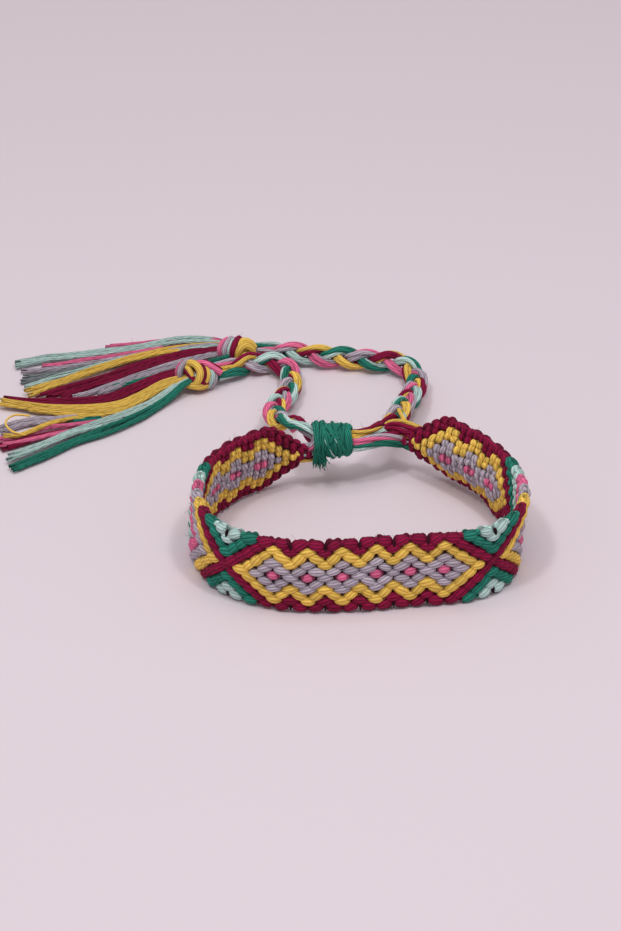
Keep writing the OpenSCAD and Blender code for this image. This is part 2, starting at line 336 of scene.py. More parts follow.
def evenSteps(line, step):
    lengths = lengthsOf(line[:, :3])
    at = np.linspace(0, lengths[-1], math.ceil(lengths[-1] / step) + 1)
    return np.stack([np.interp(at, lengths, line[:, c]) for c in range(line.shape[1])], axis=1)


def slowNoise(count, every, size):
    knots = chance.normal(0, size, (max(2, math.ceil(count / every) + 1), 3))
    at = np.linspace(0, len(knots) - 1, count)
    return np.stack([np.interp(at, range(len(knots)), knots[:, c]) for c in range(3)], axis=1)


# Short loose fibres that stand out of the floss, in millimetres
fuzzFibres = {
    "length": 0.9, "shortest": 0.4, "radius": 0.022, "root": 0.1, "lowest": 0.05,
    "lift": 0.5, "lean": 0.5, "bend": 0.12, "curl": 2.5,
    "leastOpen": 0.7,  # no fibre stands deep between the strings
}


def fuzz(skein, count):
    points = np.concatenate(skein.points)
    opens = np.concatenate(skein.opens)
    picked = chance.integers(0, len(skein.faces), count)
    for index in picked:
        face = skein.faces[index]
        a, b, c = points[face[0]], points[face[1]], points[face[2]]
        away = np.cross(b - a, c - b)
        flat = np.linalg.norm(away) < 1e-4
        if opens[face[0]] < fuzzFibres["leastOpen"] or flat or len(face) > 4:
            continue
        lean = unit(unit(away) * fuzzFibres["lift"] + chance.normal(0, fuzzFibres["lean"], 3))
        size = fuzzFibres["length"] * chance.uniform(fuzzFibres["shortest"], 1)
        bend = chance.normal(0, fuzzFibres["bend"], 3)
        path = np.array([
            a - lean * fuzzFibres["root"], a + lean * size * 0.5 + bend,
            a + lean * size + fuzzFibres["curl"] * bend,
        ])
        path[:, 2] = np.maximum(path[:, 2], fuzzFibres["lowest"])
        string(skein, path - layoutShift, fuzzFibres["radius"], skein.colours[index], 3, 1)


# The camera stands where the photograph was taken from
photoView = {
    "distance": 700, "elevation": 31.8, "focalPixels": 3755, "picture": (621, 931), "film": 36,
}
lookUp = math.radians(photoView["elevation"])


# Layout millimetres of picture points at a known height: across, down, height
def fromPicture(points):
    across, down, height = np.asarray(points, float).T
    drop = (photoView["picture"][1] / 2 - down) / photoView["focalPixels"]
    reach = photoView["distance"] - height * math.sin(lookUp)
    y = (drop * reach - height * math.cos(lookUp)) / (math.sin(lookUp) - drop * math.cos(lookUp))
    depth = reach + y * math.cos(lookUp)
    x = (across - photoView["picture"][0] / 2) * depth / photoView["focalPixels"]
    return np.stack([x, y, height], axis=1)


# The band's middle surface, the same as in the solid
bandShape = {
    "columnPitch": 2.5, "columns": 6, "rowPitch": 1.5, "rows": 48,
    "thickness": 2.0, "width": 15.0, "relief": 0.3, "scallop": 0.45,
    "tipHeight": 3.8, "tipEnd": 0.2, "bend": 2.5, "frontMiddle": (8.5, -48.0),
    # share of the way from the front to the tip, heading, lean of the upper and of the lower part
    "left": [
        (0, -12, 4, 0), (0.12, 0, 5, -4), (0.31, 31, 7, -8), (0.46, 72, 7, -9), (0.55, 90, 6, 0),
        (0.8, 137, 0, 14), (1, 166, 0, 26),
    ],
    "right": [
        (0, 10, 4, 4), (0.22, 5, 0, 0), (0.31, 30, 0, 0), (0.47, 81, -9, -2), (0.55, 98, -13, 2),
        (0.71, 121, -18, 16), (0.8, 134, -27, 34), (1, 141, -32, 38),
    ],
}
bandRows = np.arange(-bandShape["rows"], bandShape["rows"] + 1)
bandMiddle = bandShape["width"] / 2
tipRow = bandShape["rows"] + bandShape["tipEnd"]


def halfBand(side):
    table = np.array(bandShape["left" if side < 0 else "right"], float)
    shares = np.arange(bandShape["rows"] + 1) / bandShape["rows"]
    between = np.radians(np.interp(shares[:-1] + 0.5 / bandShape["rows"], table[:, 0], table[:, 1]))
    steps = bandShape["rowPitch"] * np.stack([side * np.cos(between), np.sin(between)], axis=1)
    start = np.array([bandShape["frontMiddle"]])
    spots = np.concatenate([start, start + np.cumsum(steps, axis=0)])
    heading, upper, lower = (np.interp(shares, table[:, 0], table[:, c]) for c in (1, 2, 3))
    return np.column_stack([spots, side * heading, upper, lower])


bandTable = np.concatenate([halfBand(-1)[:0:-1], halfBand(1)])


# across is the way up from the band's middle, inward the way to the inner face
def bandSpot(row, across, inward):
    given = [np.asarray(v, float) for v in (row, across, inward)]
    row, across, inward = np.broadcast_arrays(*given)
    x, y, heading, upper, lower = (np.interp(row, bandRows, bandTable[:, c]) for c in range(5))
    heading = np.radians(heading)
    bend = np.abs(across) / bandShape["bend"]
    middle = (upper + lower) / 2
    turn = np.where(across > 0, upper, lower) - middle
    lean = np.radians(middle + turn * np.minimum(bend, 1))
    reach = np.radians(middle + turn * np.where(bend < 1, bend / 2, 1 - 0.5 / np.maximum(bend, 1)))
    past = (row - np.clip(row, bandRows[0], bandRows[-1])) * bandShape["rowPitch"]
    off = across * np.sin(reach) + inward * np.cos(lean)
    return np.stack([
        x + past * np.cos(heading) - off * np.sin(heading),
        y + past * np.sin(heading) + off * np.cos(heading),
        bandMiddle + across * np.cos(reach) - inward * np.sin(lean),
    ], axis=-1)


# Half the band's height at a row, as in the solid
def halfHeight(row):
    room = bandShape["tipHeight"] / 2 + (tipRow - np.abs(row)) * bandShape["columnPitch"] / 2
    return np.minimum(bandMiddle - bandShape["scallop"] * (np.asarray(row) % 2 == 0), room)


# The frame's band tells how far the whole layout is moved to put its origin in the middle
def solidCorner():
    columns = bandShape["columns"]
    across = np.arange(-columns, columns + 1)  # in half columns
    row, column, face = np.meshgrid(bandRows, across, (-1, 1), indexing="ij")
    thick = bandShape["thickness"] / 2 - bandShape["relief"] * ((row + column) % 2)
    thick[np.abs(column) == columns] = 0
    spots = bandSpot(row, column / columns * halfHeight(row), face * thick)
    return spots.reshape(-1, 3).min(axis=0)


layoutShift = np.array(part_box("woven_band")[0]) / mm - solidCorner()
layoutShift[2] = 0


def placed(points):
    return np.asarray(points, float) + layoutShift


# The chart. A knot's row counts from the middle of the front, its column from the top edge.
chart = {
    "middleColumn": 3, "outermost": 2.5, "crossing": 16, "lastDiagonal": 48, "closing": 46,
    "frontFlowers": (2, 6, 10), "backFlowers": (34, 38, 42),
    # colour of each chevron by the row where it meets the middle column
    "chevrons": {
        12: "mint", 14: "green", 16: "burgundy", 18: "yellow", 20: "grey", 22: "pink", 24: "mint",
        26: "green", 28: "burgundy", 30: "yellow",
    },
    "mirroredChevrons": {14: "yellow", 16: "burgundy", 18: "green", 20: "mint"},
    "yellowToTheEdge": 18,  # the only yellow chevron that reaches the outermost column
}


def flowerColour(t, d, flowers):
    ring = d + min(abs(t - flower) for flower in flowers) / 2
    return {0: "pink", 1: "grey", 2: "yellow"}.get(ring, "burgundy")


def chartColour(t, d):
    if t <= chart["crossing"]:
        return chart["mirroredChevrons"].get(t + 2 * d) or flowerColour(t, d, chart["frontFlowers"])
    if t - 2 * d in chart["chevrons"]:
        return chart["chevrons"][t - 2 * d]
    if t + 2 * d >= chart["closing"]:
        return "yellow" if t + 2 * d == chart["closing"] else "burgundy"
    return flowerColour(t, d, chart["backFlowers"])


def knotColour(row, column):
    t, d = abs(row), abs(column - chart["middleColumn"])
    if d > chart["outermost"] or t + 2 * d > chart["lastDiagonal"]:
        return None
    colour = chartColour(t, d)
    atEdge = d == chart["outermost"] and t - 2 * d != chart["yellowToTheEdge"]
    return "burgundy" if colour == "yellow" and atEdge else colour


# 1 where the knot's colour climbs to the right, -1 where it falls, 0 where it does neither
def slantOf(row, column):
    colour = knotColour(row, column)
    climbs = sum(knotColour(row + s, column - 0.5 * s) == colour for s in (-1, 1))
    falls = sum(knotColour(row + s, column + 0.5 * s) == colour for s in (-1, 1))
    return (climbs - falls) / 2


bandKnots = [
    (row, column)
    for row in bandRows
    for column in np.arange(0.5 + 0.5 * (row % 2 == 0), bandShape["columns"], 1)
    if knotColour(row, column)
]


# One knot is a bead of string: modelled once, then copied to its places on the band. Every second
# meridian lies lower by the share groove, so that the plies show.
def stringBead(segments, rings, groove):
    deselectAll()
    bpy.ops.mesh.primitive_uv_sphere_add(segments=segments, ring_count=rings, radius=1)
    bead = bpy.context.object
    bpy.ops.object.mode_set(mode="EDIT")
    bpy.ops.mesh.select_all(action="DESELECT")
    bpy.ops.object.mode_set(mode="OBJECT")
    for vertex in bead.data.vertices:
        meridian = round(math.atan2(vertex.co.y, vertex.co.x) / (2 * math.pi) * segments)
        atPole = abs(vertex.co.z) > 0.95
        vertex.select = meridian % 2 == 1 and not atPole
    bpy.ops.object.mode_set(mode="EDIT")
    bpy.ops.transform.resize(value=(1 - groove, 1 - groove, 1), center_override=(0, 0, 0))
    bpy.ops.mesh.select_all(action="SELECT")
    bpy.ops.transform.rotate(value=math.pi / 2, orient_axis="Y", center_override=(0, 0, 0))
    bpy.ops.object.mode_set(mode="OBJECT")
    mesh = bead.data
    points = np.array([v.co for v in mesh.vertices])
    # Blender's order of a sphere's faces changes from run to run, so they are sorted
    sewn = []
    for polygon in mesh.polygons:
        corners = [
            (mesh.loops[i].vertex_index, *mesh.uv_layers[0].data[i].uv) for i in polygon.loop_indices
        ]
        start = corners.index(min(corners))
        sewn.append(corners[start:] + corners[:start])
    sewn.sort()
    faces = [[corner[0] for corner in face] for face in sewn]
    uvs = np.array([corner[1:] for face in sewn for corner in face])
    bpy.data.objects.remove(bead)
    return points, faces, uvs


outerBead = stringBead(segments=18, rings=8, groove=0.09)
innerBead = stringBead(segments=12, rings=6, groove=0.05)


# size is half the length, half the height and half the thickness, in millimetres. face is -1 on
# the outer face, 1 on the inner one and 0 at an edge. With a shingle one end lies lower.
def beadOnBand(skein, bead, row, across, inward, size, tilt, colour, face, plies, shingle=0):
    points, faces, uvs = bead
    x, y, z = (points * np.array([size[0], size[2], size[1]])).T
    angle = math.radians(tilt)
    lengthwise = x * math.cos(angle) - z * math.sin(angle)
    crosswise = x * math.sin(angle) + z * math.cos(angle)
    deep = inward + y - face * shingle * x
    spots = placed(bandSpot(row + lengthwise / bandShape["rowPitch"], across + crosswise, deep))
    # Painted shade: the knot's side away from its face and its rim are darkened in the colour
    facing = face * points[:, 1] if face else np.sign(across) * points[:, 2]
    rim = np.maximum(np.abs(points[:, 0]), np.abs(points[:, 2]))
    openness = (
        lightReach["knot"] + lightReach["knotOutside"] * facing
        - lightReach["rimLoss"] * np.clip(rim - lightReach["rimFrom"], 0, 1)
    )
    wound = uvs * np.array([plies, 2 * size[0]]) + chance.uniform(0, twistStart["knot"], 2)
    skein.add(spots, faces, wound, colour, chance.uniform(0, 1), openness)


def heightOf(column):
    return (chart["middleColumn"] - column) * bandShape["columnPitch"]


# Sizes in millimetres, tilts in degrees. The pink knot in the middle of a flower is its heart.
outerKnots = {
    "length": 3.05, "height": 2.12, "thickness": 1.9, "depth": 0.24, "depthJitter": 0.04,
    "tilt": 30, "tilts": {"grey": 14, "pink": 0}, "tiltJitter": 6, "sizeJitter": 0.07,
    "slimmer": {"grey": 0.84}, "shingle": 0.07, "heartSize": 0.85, "heartDepth": -0.2,
    "plies": 9, "fuzz": 1500,
}


def makeOuterKnots():
    outer = Skein()
    for row, column in bandKnots:
        colour, slant = knotColour(row, column), slantOf(row, column)
        steep = outerKnots["tilts"].get(colour, outerKnots["tilt"])
        tilt = slant * steep + chance.normal(0, outerKnots["tiltJitter"])
        grow = (1 + chance.normal(0, outerKnots["sizeJitter"])) / 2
        heart = colour == "pink" and abs(slant) < 1
        size = (
            grow * outerKnots["length"] * (outerKnots["heartSize"] if heart else 1),
            grow * outerKnots["height"] * outerKnots["slimmer"].get(colour, 1),
            outerKnots["thickness"] / 2,
        )
        depth = outerKnots["depth"] + (outerKnots["heartDepth"] if heart else 0)
        depth += chance.normal(0, outerKnots["depthJitter"])
        beadOnBand(
            outer, outerBead, row, heightOf(column), -depth, size, tilt, colour, -1,
            outerKnots["plies"], outerKnots["shingle"],
        )
    fuzz(outer, outerKnots["fuzz"])
    outer.piece("band_outer_knots", "woven_band", "woven_band")


innerKnots = {
    "length": 1.62, "height": 1.9, "thickness": 1.9, "apart": 1.5, "depth": 0.2, "slant": 20,
    "rise": 0.45, "jitter": 0.09, "tiltJitter": 9, "plies": 6, "fuzz": 900,
    "strayRow": 47, "strayHeight": 0.7, "straySize": 0.8, "strayTilt": 20,
}


# On the inner face each knot shows as a pair of upright bumps
def makeInnerKnots():
    inner = Skein()
    size = np.array([innerKnots["height"], innerKnots["length"], innerKnots["thickness"]]) / 2
    depth, plies = innerKnots["depth"], innerKnots["plies"]
    for row, column in bandKnots:
        colour, slant = knotColour(row, column), slantOf(row, column)
        for half in (-0.5, 0.5):
            place = row + half * innerKnots["apart"] / bandShape["rowPitch"]
            high = heightOf(column) + half * slant * innerKnots["rise"]
            high += chance.normal(0, innerKnots["jitter"])
            tilt = 90 - slant * innerKnots["slant"] + chance.normal(0, innerKnots["tiltJitter"])
            lump = size * (1 + chance.normal(0, innerKnots["jitter"], 3))
            beadOnBand(inner, innerBead, place, high, depth, lump, tilt, colour, 1, plies)
    # one yellow string shows once more near each tip
    lump = size * innerKnots["straySize"]
    for row in (-innerKnots["strayRow"], innerKnots["strayRow"]):
        beadOnBand(
            inner, innerBead, row, innerKnots["strayHeight"], 2 * depth, lump,
            innerKnots["strayTilt"], "yellow", 1, plies,
        )
    fuzz(inner, innerKnots["fuzz"])
    inner.piece("band_inner_knots", "woven_band")


edgeLoops = {
    # half length, half height and half thickness, how far the middle lies in from the edge, plies
    "kinds": {
        "loop": ((0.85, 0.55, 0.8), 0.55, 6), "cap": ((1.35, 0.72, 0.95), 1.0, 6),
        "tip": ((0.95, 0.7, 0.85), 0.75, 6), "slit": ((0.2, 0.85, 0.5), 0.95, 2),
    },
    "slitRows": (0, 4, 8, 16), "slitDepth": -0.75, "lastRow": 42, "tipTilt": 38, "fuzz": 700,
}


def edgeKind(row, column):
    if abs(row) > edgeLoops["lastRow"]:
        return "tip", "burgundy"
    if row % 2:
        return "cap", knotColour(row, column)
    # A slit row gets a dark bead in the painted-shadow colour for the shade in the gap
    if abs(row) in edgeLoops["slitRows"]:
        return "slit", "shadow"
    return "loop", knotColour(row + (1 if row < 0 else -1), column)


# At both edges the outermost strings turn back between the knots of every second row
def makeEdges():
    edges = Skein()
    for side in (-1, 1):
        column = 0.5 if side > 0 else bandShape["columns"] - 0.5
        for row in bandRows:
            kind, colour = edgeKind(row, column)
            size, inset, plies = edgeLoops["kinds"][kind]
            high = side * (halfHeight(row) - inset)
            depth = edgeLoops["slitDepth"] if kind == "slit" else 0
            tilt = -side * np.sign(row) * edgeLoops["tipTilt"] if kind == "tip" else 0
            beadOnBand(edges, innerBead, row, high, depth, size, tilt, colour, 0, plies)
    fuzz(edges, edgeLoops["fuzz"])
    edges.piece("band_edge_loops", "woven_band")


coreStrings = {"sides": 20, "thickness": 0.9, "rim": 6.3, "tipRim": 0.6, "plies": 12}


# The strings that lie inside the knots: a closed wall in the painted-shadow colour, so that painted
# shade shows between the knots
def makeCore():
    core = Skein()
    rows = np.linspace(bandRows[0], bandRows[-1], 2 * len(bandRows) - 1)
    turn = np.linspace(0, 2 * math.pi, coreStrings["sides"], endpoint=False)
    toTip = (bandShape["rows"] - abs(rows)) * bandShape["columnPitch"] / 2
    tall = np.minimum(coreStrings["rim"], coreStrings["tipRim"] + toTip)
    spots = bandSpot(
        rows[:, None], tall[:, None] * np.cos(turn), -coreStrings["thickness"] / 2 * np.sin(turn)
    )
    tube(core, placed(spots), rows * bandShape["rowPitch"], coreStrings["plies"], "shadow")
    core.piece("band_core_strings", "woven_band")


makeOuterKnots()
makeInnerKnots()
makeEdges()
makeCore()
print("band knotted:", len(bandKnots), "knots")


# The ties. Their routes are the solid's own: x and y from the middle of the sliding knot, height
# as a share of the way from lying flat to the sliding knot, roll, plaited (1) or side by side (0).
# Side 1 is the left tip's tie, which runs through the sliding knot to the right, and -1 is the
# right tip's, which runs to the left.
tieShape = {
    "strand": 1.4, "tight": 0.9, "gap": 0.2, "tightRoom": 0.15, "layerRoom": 0.25,
    "ring": 1.3, "seat": 0.3, "root": 1.2, "firstReaches": {1: (2.6, 4), -1: (1.6, 4)},
    "bow": 0.6, "lead": 0.5,
    "slideLength": 7.0, "slideRise": 1.3, "standOff": (2.4, 2.0), "slideSteps": 10,
    # the plait's half width, half thickness and squareness, and the length of a full turn
    "wide": 1.05, "thick": 0.72, "square": 0.2, "turn": 9, "fullPlait": 0.99,
    "routes": {
        1: [
            (6.4, 2.4, 0.97, -95, 0.1), (9.4, 5.6, 0.88, -135, 1), (10.8, 10.4, 0.74, -170, 1),
            (12.3, 16.9, 0.57, -180, 1), (14.1, 23.8, 0.33, -180, 1), (15.3, 30, 0.13, -180, 1),
            (15.2, 34.5, 0.02, -190, 1), (13.6, 38, 0.04, -215, 1), (10.6, 40, 0.06, -235, 1),
            (6.5, 40.4, 0.07, -245, 1), (1, 41.6, 0.07, -245, 1), (-4, 42.2, 0.07, -245, 1),
            (-8.8, 43.3, 0.07, -245, 1), (-13.2, 44, 0.05, -230, 1), (-16.1, 44, 0.05, -210, 0),
        ],
        -1: [
            (-5.5, 2.8, 1.03, -100, 0.3), (-7.9, 6.5, 0.97, -140, 1), (-10.5, 10, 0.74, -170, 1),
            (-11.8, 15.3, 0.5, -180, 1), (-11.2, 21.2, 0.29, -180, 1), (-9.5, 26.8, 0.13, -180, 1),
            (-8.7, 32.2, 0, -180, 1), (-9, 36.2, 0.03, -195, 1), (-10.6, 38.8, 0.05, -220, 1),
            (-13.3, 39.7, 0.07, -240, 1), (-16.9, 39.3, 0.07, -240, 1),
            (-20.4, 37.5, 0.07, -230, 1), (-23.4, 35.9, 0.05, -210, 0),
        ],
    },
}
strandStep = tieShape["strand"] + tieShape["gap"]
plaitWide, plaitThick = tieShape["wide"] * strandStep, tieShape["thick"] * strandStep
plaitSquare, plaitTurn = tieShape["square"] * plaitThick, tieShape["turn"] * strandStep
tightStep = tieShape["tight"] + tieShape["gap"] + tieShape["tightRoom"]
tightLayer = tightStep + tieShape["layerRoom"]
lieHeight = plaitThick + plaitSquare + tieShape["strand"] / 2
slideHeight = bandMiddle + tieShape["slideRise"]
leftTip = bandSpot(-tipRow, 0, 0)
rightTip = bandSpot(tipRow, 0, 0)
slideMiddle = np.array([
    leftTip[0] + tieShape["standOff"][0] + tieShape["slideLength"] / 2,
    leftTip[1] + tieShape["standOff"][1], slideHeight,
])


# Rows of x, y, height, roll, share plaited, and how far the tie lies from the knot's middle
def tieRoute(side):
    tip = leftTip if side > 0 else rightTip
    ahead = unit(bandSpot(-side * (tipRow + 1), 0, 0) - tip)
    spots = [tip - ahead * tieShape["root"]]
    spots += [tip + ahead * reach * tieShape["seat"] for reach in tieShape["firstReaches"][side]]
    rows = [[*spot[:2], bandMiddle, 90, 0, 0] for spot in spots]
    inside = []
    steps, through = tieShape["slideSteps"], tieShape["slideLength"] + 2 * tieShape["lead"]
    for j in range(steps + 1):
        x = slideMiddle[0] + side * through * (j / steps - 0.5)
        roll = 90 - 180 * min(max((j - 1) / (steps - 2), 0), 1)
        inside.append([x, slideMiddle[1], slideHeight, roll, 0, side * tightLayer / 2])
    if side < 0:
        rows.append([
            (tip[0] + inside[0][0]) / 2, (tip[1] + inside[0][1]) / 2 + tieShape["bow"],
            (bandMiddle + inside[0][2]) / 2, 90, 0, 0,
        ])
    free = [
        [slideMiddle[0] + x, slideMiddle[1] + y, mix(lieHeight, slideHeight, lift), roll, share, 0]
        for x, y, lift, roll, share in tieShape["routes"][side]
    ]
    return np.array(rows + inside + free, float)


# Where along the tie the plait turns, as lengths and angles: a whole number of sixths of a turn
def plaitTurns(route):
    line = evenSteps(throughPoints(route[1:]), tieShape["ring"])
    on = np.flatnonzero(line[:, 4] > tieShape["fullPlait"])
    turns = round(6 * (on[-1] - on[0]) * tieShape["ring"] / plaitTurn) / 6
    lengths = lengthsOf(line[:, :3])
    return (lengths[on[0]], lengths[on[-1]]), 360 * turns


tieFloss = {
    "stringRadius": 0.49, "bundleRadius": 0.43, "tightString": 0.4, "tightBundle": 0.4,
    "bundlePitch": 23.0, "step": 0.5, "wander": 0.06, "wanderEvery": 8, "sides": 10,
    "aboveTable": 0.03, "fuzz": 260,
    "narrower": 0.78, "flatter": 0.72,  # soft strands press into each other where they cross
    # painted shade: how far light comes from outside the strand and from outside the tie, darkening
    # the inner sides
    "strandOutside": 0.6, "tieOutside": 0.7,
    # the four strings of each strand
    "strands": [
        ("yellow", "yellow", "burgundy", "burgundy"), ("pink", "pink", "grey", "grey"),
        ("mint", "green", "green", "mint"),
    ],
    "places": {1: (2, 1, 0), -1: (1, 0, 2)},  # order in which the three strands start
    # back and up, in millimetres, half-way between the right tip and the sliding knot
    "swing": {"yellow": (0.5, -1.1), "pink": (-0.6, 0.8), "mint": (-1.3, 1.3)},
    "swingBack": 8, "swingShape": 1.2,
}


# The middle of one strand, its share plaited, and the middle of the tie
def strandLine(route, number):
    (first, last), angle = plaitTurns(route)
    line = evenSteps(throughPoints(route, 12), tieFloss["step"])
    lengths = lengthsOf(line[:, :3]) - np.linalg.norm(route[1, :3] - route[0, :3])
    turn = np.radians(np.interp(lengths, (first, last), (0, angle)) + 120 * number)
    ahead = unit(np.gradient(line[:, :3], axis=0))
    level = unit(np.cross((0, 0, 1), ahead))
    up = np.cross(ahead, level)
    share = np.clip(line[:, 4], 0, 1)
    roll = np.radians(line[:, 3])[:, None]
    wide = level * np.cos(roll) + up * np.sin(roll)
    thick = up * np.cos(roll) - level * np.sin(roll)
    loose = mix(1, tieFloss["narrower"], share)
    # three unplaited strands lie side by side, a third of a turn apart
    sideways = mix(tightStep / math.sin(math.radians(60)), plaitWide, share) * np.sin(turn) * loose
    over = share * (plaitThick * np.sin(2 * turn) + plaitSquare * np.sin(4 * turn))
    over = over * tieFloss["flatter"] + line[:, 5]
    return line[:, :3] + wide * sideways[:, None] + thick * over[:, None], share, line[:, :3]


# Between the right tip and the sliding knot the strands swing apart
def swung(path, colour):
    along = np.clip((path[:, 0] - slideMiddle[0]) / (rightTip[0] - slideMiddle[0]), 0, 1)
    along[path[:, 1] > slideMiddle[1] + tieFloss["swingBack"]] = 0
    back, rise = tieFloss["swing"][colour]
    hump = np.sin(math.pi * along) ** tieFloss["swingShape"]
    return path + np.stack([0 * hump, back * hump, rise * hump], axis=1)


# Four strings leave the top of the right tip early and join the plait from the side
looseStrings = {
    "radius": 0.42,
    # across and down the picture, and height
    "paths": [
        ("yellow", [
            (421, 428, 10.2), (411, 424, 10.4), (401, 421, 10.2), (390, 422, 9.4), (381, 428, 8.6),
        ]),
        ("yellow", [(405, 421, 10.4), (402, 416, 9.6), (399, 410, 8)]),
        ("burgundy", [
            (420, 431, 9.8), (407, 427, 10.2), (397, 424, 9.9), (388, 425, 9.2), (380, 431, 8.2),
        ]),
        ("burgundy", [(418, 434, 9.2), (404, 431, 9.6), (394, 428, 9.4), (385, 429, 8.8)]),
    ],
}


def looseEnds(skein):
    for colour, points in looseStrings["paths"]:
        path = evenSteps(throughPoints(fromPicture(points)), tieFloss["step"])
        string(skein, path, looseStrings["radius"], colour)


def makeTie(side, name):
    route = tieRoute(side)
    for number, colours in enumerate(tieFloss["strands"]):
        path, share, middle = strandLine(route, tieFloss["places"][side][number])
        if side < 0:
            path = swung(path, colours[0])
        _, across, up = carriedFrames(path)
        bundle = mix(tieFloss["tightBundle"], tieFloss["bundleRadius"], share)
        radius = mix(tieFloss["tightString"], tieFloss["stringRadius"], share)
        fromMiddle = (path - middle) / (1 + np.linalg.norm(path - middle, axis=1))[:, None]
        skein = Skein()
        for k, colour in enumerate(colours):
            turn = 2 * math.pi * (lengthsOf(path) / tieFloss["bundlePitch"] + k / len(colours))
            offset = across * np.cos(turn)[:, None] + up * np.sin(turn)[:, None]
            wander = slowNoise(len(path), tieFloss["wanderEvery"], tieFloss["wander"])
            line = path + offset * bundle[:, None] + wander
            line[:, 2] = np.maximum(line[:, 2], radius + tieFloss["aboveTable"])
            outside = tieFloss["strandOutside"] * offset + tieFloss["tieOutside"] * fromMiddle
            string(skein, line, radius, colour, tieFloss["sides"], outside=outside)
        if side < 0 and number == 0:
            looseEnds(skein)
        fuzz(skein, tieFloss["fuzz"])
        node = f"{name}_tie_strand_{number + 1}"
        skein.piece(node + "_floss", frameSlot[node], node)
    return route


leftRoute = makeTie(1, "left")
rightRoute = makeTie(-1, "right")
print("ties plaited")


# The sliding knot: green string wound round both ties, with a bundle that falls into a frayed
# tuft. Turns run from the top to the front, in degrees, and lengths from the knot's left end.
slideFloss = {
    "shift": (-0.9, 0, 0.3), "length": 7.0, "bore": 2.25, "roundedFrom": 0.8, "rounding": 0.45,
    "string": 0.42, "fuzz": 500,
    "sleeve": {"sides": 24, "rings": 12, "inset": 0.2, "plies": 24, "openness": 0.3},
}
slideWinding = {
    "turns": 9, "pointsPerTurn": 26, "from": 0.05, "share": 0.9, "sway": 0.4,
    "lie": 0.95, "ripple": 0.3, "rippleRate": 0.37, "wander": 0.07, "wanderEvery": 9,
}
slideBundle = {
    "strings": 7, "turn": (-120, 112), "turnJitter": 6, "points": 30, "reach": 3.05,
    "spread": 0.3, "spreadRate": 2.1, "ripple": 0.15, "start": 0.1, "step": 0.3, "sway": 0.35,
    "swayRate": 0.6, "wander": 0.08, "wanderEvery": 8, "string": 0.85, "end": 0.45, "outside": 0.8,
    # where each string hangs, from where it leaves the knot
    "falls": [(0.1, -0.25, -1.2), (0.15, -0.35, -2.3)], "longer": 0.2,
}
slideThreads = {
    # first and last turn, first and last length
    "paths": [
        # the thin mint threads are loose threads and also painted light green highlights on the
        # green winding
        (20, 135, 0.9, 4.1, "mint"), (30, 80, 3.2, 4.6, "mint"), (10, 150, 1.6, 3.6, "green"),
        (-20, 110, 3.4, 5.0, "green"), (0, 130, 5.6, 4.6, "green"), (15, 95, 2.4, 5.6, "green"),
        (-10, 70, 5.0, 3.0, "green"),
    ],
    "radius": {"mint": 0.15, "green": 0.32}, "layers": 2.5, "points": 20,
    "wander": 0.06, "wanderEvery": 7,
}
slideTuft = {
    "fibres": 44, "fibre": 0.12, "thickness": (0.7, 1.6), "tip": 0.5, "roots": (0.2, 2.2),
    "turns": (60, 112), "reach": 3.0, "drop": 1.4, "lengths": (1.9, 3.5),
    "forward": (0.5, 0.9), "jitter": (0.2, 0.35), "spread": (0.35, 1.1), "lean": 0.3,
}


def aroundSlide(along, angle, reach):
    x, y, z = slideMiddle + slideFloss["shift"]
    along, angle, reach = np.broadcast_arrays(along, angle, reach)
    start = x - slideFloss["length"] / 2
    return np.stack([start + along, y - reach * np.sin(angle), z + reach * np.cos(angle)], axis=-1)


def roundedReach(along):
    past = along / slideFloss["length"] - slideFloss["roundedFrom"]
    share = np.clip(past / (1 - slideFloss["roundedFrom"]), 0, 1)
    return slideFloss["bore"] - slideFloss["rounding"] * share ** 2


# A closed sleeve under the winding, darkened as painted shade by its low openness
def slideSleeve(skein):
    sleeve = slideFloss["sleeve"]
    turn = np.linspace(0, 2 * math.pi, sleeve["sides"], endpoint=False)
    along = np.linspace(sleeve["inset"], slideFloss["length"] - sleeve["inset"], sleeve["rings"])
    rings = np.stack([aroundSlide(a, turn, roundedReach(a)) for a in along])
    tube(skein, placed(rings), along, sleeve["plies"], "green", sleeve["openness"])


def windSlide(skein):
    radius, winding = slideFloss["string"], slideWinding
    count = winding["turns"] * winding["pointsPerTurn"]
    for layer in (0, 1):
        turn = np.linspace(0, 2 * math.pi * winding["turns"], count) + math.pi * layer
        share = winding["from"] + winding["share"] * np.arange(count) / count
        along = slideFloss["length"] * share + winding["sway"] * np.sin(turn)
        ripple = winding["ripple"] * np.sin(turn * winding["rippleRate"] + layer)
        reach = roundedReach(along) + radius * (winding["lie"] + ripple)
        path = aroundSlide(along, turn, reach)
        path = path + slowNoise(count, winding["wanderEvery"], winding["wander"])
        string(skein, path, radius, "green", outside=unit(path - aroundSlide(along, turn, 0)))


